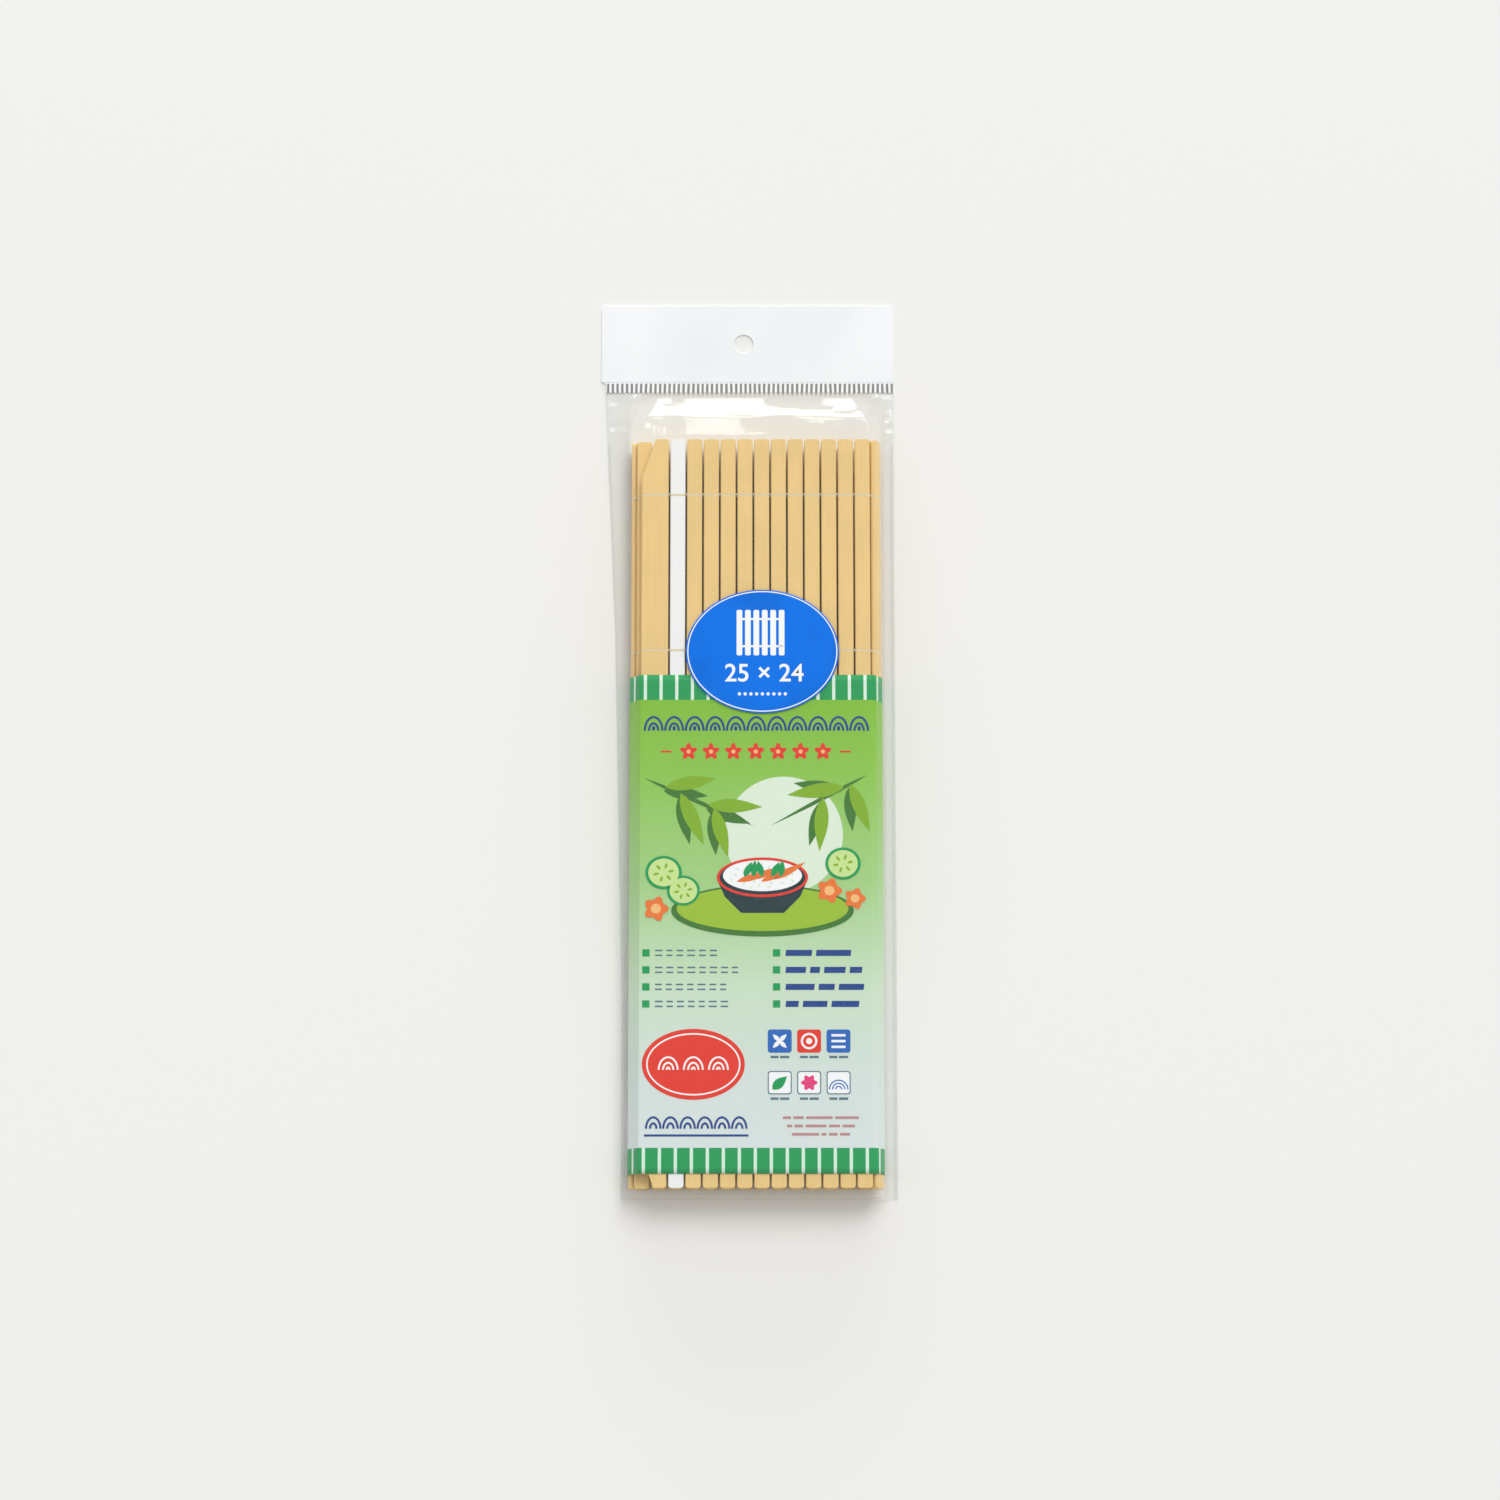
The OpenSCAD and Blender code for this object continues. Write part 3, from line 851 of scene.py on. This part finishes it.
class SUSHIMAT_OT_film(bpy.types.Operator):
    """Drape the front film over the mat: flat side margins, creased shoulder, gathered lower end"""
    bl_idname = "sushimat.film"
    bl_label = "Bag film"

    def execute(self, context):
        # The last number is the painted sheen near the table.
        film = clear_film("front_film", (0.998, 0.998, 0.997), 0.003, 0.018, 0.12)
        back = clear_film("back_film", (0.995, 0.996, 0.994), 0.006, 0.01)
        weld = clear_film("side_weld", (0.98, 0.98, 0.98), 0.25, 0.02)
        self.section()
        bm = woven_grid(len(self.line) - 1, self.rows(), self.place)
        for _ in range(2):
            bmesh.ops.smooth_vert(bm, verts=[v for v in bm.verts if not v.is_boundary and self.loose(v.co)],
                                  factor=0.35, use_axis_x=True, use_axis_y=True, use_axis_z=True)
        piece = new_piece("front_film", bm, film, "bag", ["bag_front"])
        thicken(piece, 0.05 * MM)
        smooth_shade(piece)
        lay_flat(piece)
        paint("bag_back", back)
        for name in ("weld_left", "weld_right"):
            paint(name, weld)
        return {"FINISHED"}

    def section(self):
        """Section of the film over the mat, from the left margin over the top to the right margin."""
        bag_low, bag_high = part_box("bag_back")
        _, seal_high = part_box("crimp_seal")
        _, mat_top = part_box("edge_slat")
        self.bag_low, self.bag_high, self.top_z = bag_low, bag_high, mat_top.z
        self.flat_z = bag_high.z + 0.28 * MM
        self.seal_z = seal_high.z - 0.25 * MM
        wrapped = wrap_line(0.72 * MM, step=15)
        over = [p for p in wrapped if p.y > 2.0 * MM and not (p.x > 0 and p.y < 5.4 * MM)]
        first, last = over[0], over[-1]
        feet = [Vector((first.x - 0.5 * MM, self.flat_z)), Vector((last.x + 1.0 * MM, self.flat_z))]
        margins = [Vector((self.bag_low.x, self.flat_z)), Vector((bag_high.x - 0.03 * MM, self.flat_z))]
        whole = [margins[0], feet[0]] + over + [feet[1], margins[1]]
        left_columns = 6
        left = [margins[0].lerp(feet[0], k / left_columns) for k in range(left_columns)]
        self.line = left + divided(whole[1:], 0.95 * MM)
        self.left_columns = left_columns
        self.lengths = lengths_along(self.line)
        self.shoulder_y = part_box("edge_slat")[1].y + 1.2 * MM
        mat_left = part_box("slat_30")[0].x
        self.seal_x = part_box("crimp_seal")[0].x
        self.low_x, self.middle_x = mat_left - 2.65 * MM, mat_left - 5.35 * MM
        self.lower_y, self.upper_y = -85.8 * MM, 39.2 * MM
        self.crease, self.wave = settings().shoulder_crease, settings().film_wave
        self.seal_y = bag_high.y
        self.end_y = bag_low.y + 0.06 * MM
        self.steps = self.row_places()

    def row_places(self):
        """Places of the rows along the pack: close at the lower end and at the shoulder."""
        end_rows, mat_rows, shoulder_rows = 14, 170, 44
        wall = 0.49 * MM
        wall_y = self.end_y + wall
        steps = [(self.end_y + wall * smoothstep(0, 1, k / end_rows) ** 2, 1.0 - k / end_rows)
                 for k in range(end_rows)]
        steps += [(wall_y + (self.shoulder_y - wall_y) * k / mat_rows, 0.0) for k in range(mat_rows)]
        steps += [(self.shoulder_y + (self.seal_y - self.shoulder_y) * k / shoulder_rows, 0.0)
                  for k in range(shoulder_rows + 1)]
        return steps

    def rows(self):
        return len(self.steps) - 1

    def left_edge(self, y):
        """The bag's left edge: drawn in towards its lower end by the mat."""
        if y > self.upper_y:
            share = (y - self.upper_y) / (self.seal_y - self.upper_y)
            return self.middle_x + (self.seal_x - self.middle_x) * share
        share = max(0.0, (y - self.lower_y) / (self.upper_y - self.lower_y))
        return self.low_x + (self.middle_x - self.low_x) * share

    def loose(self, point):
        return point.y > self.shoulder_y + 1.0 * MM or point.y < self.end_y + 1.2 * MM

    def shoulder_height(self, share):
        """Height of the shoulder: nearly level by the mat, then a slope, then steep at the seal."""
        knots = ((0.0, 1.0), (0.36, 0.93), (0.84, 0.44), (1.0, 0.0))
        for (a, high), (b, low) in zip(knots, knots[1:]):
            if share <= b:
                return high + (low - high) * (share - a) / (b - a)
        return 0.0

    def place(self, column, row):
        y, drop = self.steps[row]
        point = self.line[column]
        x, z = point.x, point.y
        if column < self.left_columns:
            edge = self.left_edge(y)
            x = edge + (self.line[self.left_columns].x - edge) * column / self.left_columns
        share = max(0.0, (y - self.shoulder_y) / (self.seal_y - self.shoulder_y))
        edge = self.left_edge(y)
        spread = self.lengths[column] / self.lengths[-1]
        slack = math.sin(math.pi * share) ** 2
        share += 0.016 * slack * (math.sin(17.0 * spread + 0.6) + 0.5 * math.sin(41.0 * spread))
        flat_x = edge + (self.bag_high.x - edge) * spread
        x += (flat_x - x) * smoothstep(0.0, 1.0, share)
        raised = z - self.flat_z
        z = self.flat_z + raised * self.shoulder_height(share) * (1.0 - drop ** 2.2)
        z += (self.seal_z - self.flat_z) * smoothstep(0.6, 1.0, share)
        return Vector((x, y, z)) + self.wrinkle(x, y, raised, share, drop, spread), (self.lengths[column], y)

    def wrinkle(self, x, y, raised, share, drop, spread):
        """Creases of the shoulder, ripples of the side walls and soft waves over the mat."""
        crease = self.crease
        fan = Vector((x * 70, y * 150, 3.0))
        sharp = 0.5 - abs(noise.noise(fan) + 0.5 * noise.noise(fan * 2.3))
        long_fold = math.sin(spread * 9.0 + 1.2) + 0.6 * math.sin(spread * 23.0)
        on_slope = math.sin(math.pi * min(1.0, share)) if share > 0 else 0.0
        corner = min(1.0, abs(spread - 0.5) * 2.1) ** 5
        lift = on_slope * crease * ((0.08 * sharp + 0.45 * long_fold) * (1 - corner) + 1.2 * corner * sharp)
        height_share = min(1.0, raised / (self.top_z - self.flat_z))
        top = smoothstep(0.9, 1.0, height_share)
        wave = noise.noise(Vector((x * 45, y * 22, 7.0))) + 0.4 * noise.noise(Vector((x * 160, y * 60, 9.0)))
        lift += self.wave * wave * top * (1 - drop)
        wall = smoothstep(0.05, 0.4, height_share) * (1 - top)
        ripple = noise.noise(Vector((x * 40, y * 130, 5.0))) * 0.35 * MM * wall
        side = -1.0 if spread < 0.5 else 1.0
        margin = 1.0 - smoothstep(0.0, 0.1, height_share)
        lift += margin * max(0.0, noise.noise(Vector((x * 120, y * 60, 1.0)))) * 0.5 * MM * (1 - drop)
        end = drop * (1 - drop) * 4
        crumple = abs(noise.noise(Vector((x * 260, y * 900, 4.0)))) * 0.3 * MM * end
        return Vector((side * abs(ripple), crumple * 0.4, lift + crumple))


class SUSHIMAT_OT_header(bpy.types.Operator):
    """Finish the ribbed heat seal and the white header"""
    bl_idname = "sushimat.header"
    bl_label = "Seal and header"

    def execute(self, context):
        paint("crimp_seal", ribbed_seal())
        paint("header", header_film())
        self.fold_strip()
        return {"FINISHED"}

    def fold_strip(self):
        """The film between the seal and the header, where it bends."""
        seal_low, seal_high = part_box("crimp_seal")
        header_low, header_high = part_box("header")
        bm = bmesh.new()
        bmesh.ops.create_grid(bm, x_segments=40, y_segments=6, size=0.5)
        overlap = 0.12 * MM
        for vertex in bm.verts:
            across, along = vertex.co.x + 0.5, vertex.co.y + 0.5
            left = seal_low.x + (header_low.x - seal_low.x) * along
            right = seal_high.x + (header_high.x - seal_high.x) * along
            y = seal_high.y - overlap + (header_low.y - seal_high.y + 2 * overlap) * along
            vertex.co = Vector((left + (right - left) * across, y, 0.36 * MM))
        bmesh.ops.recalc_face_normals(bm, faces=bm.faces)
        mesh = bpy.data.meshes.new("fold_strip")
        bm.to_mesh(mesh)
        bm.free()
        mesh.materials.append(bpy.data.materials["header_film"])
        piece = bpy.data.objects.new("fold_strip", mesh)
        bpy.context.scene.collection.objects.link(piece)
        thicken(piece, 0.12 * MM)
        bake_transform(piece)


class SUSHIMAT_OT_sticker(bpy.types.Operator):
    """Stick the oval size sticker on the bag"""
    bl_idname = "sushimat.sticker"
    bl_label = "Size sticker"

    def execute(self, context):
        low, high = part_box("size_sticker")
        centre = (low + high) / 2
        radius_x, radius_y = (high.x - low.x) / 2, (high.y - low.y) / 2
        bm = bmesh.new()
        rings = ((1.0, 0.0), (1.0, 0.6), (0.992, 1.0), (0.5, 1.0))
        loops = []
        for scale, lift in rings:
            lay = (Matrix.Translation((centre.x, centre.y, low.z + (high.z - low.z) * 0.6 * lift))
                   @ Matrix.Diagonal((radius_x * scale, radius_y * scale, 1.0, 1.0)))
            capped = (scale, lift) in (rings[0], rings[-1])
            loop = bmesh.ops.create_circle(bm, cap_ends=capped, radius=1.0, segments=96, matrix=lay)
            loops.append(loop["verts"])
        bridge(bm, loops)
        piece = new_piece("sticker", bm, self.gloss_print(), "bag", ["size_sticker"])
        lay_flat(piece)
        self.marks(centre, low.z + (high.z - low.z) * 0.6)
        return {"FINISHED"}

    def gloss_print(self):
        finish = Finish("sticker_print")
        place = finish.place()
        cloud = finish.grain(place, 45.0, 2.0)
        colour = tuple(settings().sticker_colour)
        deep = tuple(0.86 * channel for channel in colour)
        base = finish.blend(cloud.softened(0.35, 0.65), deep, colour)
        return finish.close(finish.surface(
            base_color=base, roughness=0.28, specular_ior_level=0.2, normal=finish.relief(cloud, 0.0003)))

    def marks(self, centre, top_z):
        """A white sign of a slatted mat over plain numbers."""
        white = Ink("sticker_marks", WHITE, "bag", "sticker_blue", top_z)
        x, y = centre.x / MM - 0.6, centre.y / MM + 6.3
        for k in range(6):
            white.tile(x - 7.0 + 2.8 * k, y, 1.9, 15.4, 0.5)
        for offset in (-4.6, 4.6):
            white.bar(x, y + offset, 15.0, 0.7)
        for k in range(9):
            white.oval(centre.x / MM - 7.6 + 1.9 * k, centre.y / MM - 14.4, 0.55, 0.55, sides=16)
        white.ring(centre.x / MM, centre.y / MM, 24.9, 20.4, 0.35, sides=96)
        white.finish(0.35 * MM)
        self.numbers(centre, top_z)

    def numbers(self, centre, top_z):
        curve = bpy.data.curves.new("size_numbers", "FONT")
        curve.body = "25 × 24"
        curve.size = 8.4 * MM
        curve.align_x, curve.align_y = "CENTER", "CENTER"
        curve.extrude = 0.006 * MM
        curve.offset = 0.09 * MM
        written = bpy.data.objects.new("size_numbers_curve", curve)
        bpy.context.scene.collection.objects.link(written)
        graph = bpy.context.evaluated_depsgraph_get()
        bm = bmesh.new()
        bm.from_mesh(written.evaluated_get(graph).to_mesh())
        bpy.data.objects.remove(written)
        place = Vector((centre.x + 0.6 * MM, centre.y - 7.6 * MM, top_z + 0.01 * MM))
        bmesh.ops.translate(bm, verts=bm.verts, vec=place)
        bmesh.ops.remove_doubles(bm, verts=bm.verts, dist=0.0005 * MM)
        piece = new_piece("size_numbers", bm, bpy.data.materials["sticker_marks_ink"], "bag")
        lay_flat(piece)


class SUSHIMAT_OT_stage(bpy.types.Operator):
    """Add the pale floor, the soft lights and the camera"""
    bl_idname = "sushimat.stage"
    bl_label = "Stage"

    def execute(self, context):
        self.floor()
        self.lights()
        self.camera()
        context.scene.view_settings.view_transform = "Standard"
        context.scene.cycles.transparent_max_bounces = 32
        return {"FINISHED"}

    def floor(self):
        bm = bmesh.new()
        bmesh.ops.create_grid(bm, x_segments=8, y_segments=8, size=4.0)
        mesh = bpy.data.meshes.new("floor")
        bm.to_mesh(mesh)
        bm.free()
        mesh.materials.append(floor_finish())
        floor = bpy.data.objects.new("floor", mesh)
        floor.location.z = -0.02 * MM
        bpy.context.scene.collection.objects.link(floor)

    def lights(self):
        world = bpy.data.worlds.new("studio")
        bpy.context.scene.world = world
        world.use_nodes = True
        background = world.node_tree.nodes["Background"]
        background.inputs["Color"].default_value = (0.985, 0.99, 1.0, 1.0)
        background.inputs["Strength"].default_value = 0.6
        self.lamp("key", "SUN", 1.5, (0.35, 0.8, 1.0), angle=math.radians(34))
        self.lamp("strip_behind", "AREA", 44.0, (0.0, 3.0, 0.43), size=(2.8, 0.64))

    def lamp(self, name, kind, energy, place, size=None, angle=None):
        data = bpy.data.lights.new(name, kind)
        data.energy = energy
        if size:
            data.shape, data.size, data.size_y = "RECTANGLE", *size
        if angle:
            data.angle = angle
        lamp = bpy.data.objects.new(name, data)
        lamp.location = place
        lamp.rotation_mode = "QUATERNION"
        lamp.rotation_quaternion = Vector(place).to_track_quat("Z", "Y")
        bpy.context.scene.collection.objects.link(lamp)

    def camera(self):
        frame_width = 498.0 * MM
        sensor = 36.0
        elevation = math.radians(80)
        distance = settings().camera_distance
        target = (CAD_LOW + CAD_HIGH) / 2 + Vector((0.9 * MM, -3.0 * MM, 0))
        data = bpy.data.cameras.new("camera")
        data.sensor_width = sensor
        data.lens = sensor * distance / frame_width
        camera = bpy.data.objects.new("camera", data)
        towards = Vector((0, -math.cos(elevation), math.sin(elevation)))
        camera.location = target + towards * distance
        camera.rotation_mode = "QUATERNION"
        camera.rotation_quaternion = towards.to_track_quat("Z", "Y")
        bpy.context.scene.collection.objects.link(camera)
        bpy.context.scene.camera = camera


class SUSHIMAT_PT_panel(bpy.types.Panel):
    """Lists the settings and the steps that dress the pack"""
    bl_idname = "SUSHIMAT_PT_panel"
    bl_label = "Sushi Mat"
    bl_space_type = "VIEW_3D"
    bl_region_type = "UI"
    bl_category = "Sushi Mat"

    def draw(self, context):
        for name in SushiMatSettings.__annotations__:
            self.layout.prop(context.scene.sushi_mat, name)
        for step in STEPS:
            self.layout.operator(step.bl_idname)


STEPS = (
    SUSHIMAT_OT_slats,
    SUSHIMAT_OT_threads,
    SUSHIMAT_OT_band,
    SUSHIMAT_OT_band_print,
    SUSHIMAT_OT_film,
    SUSHIMAT_OT_header,
    SUSHIMAT_OT_sticker,
    SUSHIMAT_OT_stage,
)


def register():
    for item in (SushiMatSettings, *STEPS, SUSHIMAT_PT_panel):
        bpy.utils.register_class(item)
    bpy.types.Scene.sushi_mat = bpy.props.PointerProperty(type=SushiMatSettings)


def unregister():
    del bpy.types.Scene.sushi_mat
    for item in (SUSHIMAT_PT_panel, *reversed(STEPS), SushiMatSettings):
        bpy.utils.unregister_class(item)


def main():
    register()
    for step in STEPS:
        group, name = step.bl_idname.split(".")
        getattr(getattr(bpy.ops, group), name)()


if __name__ == "__main__":
    main()
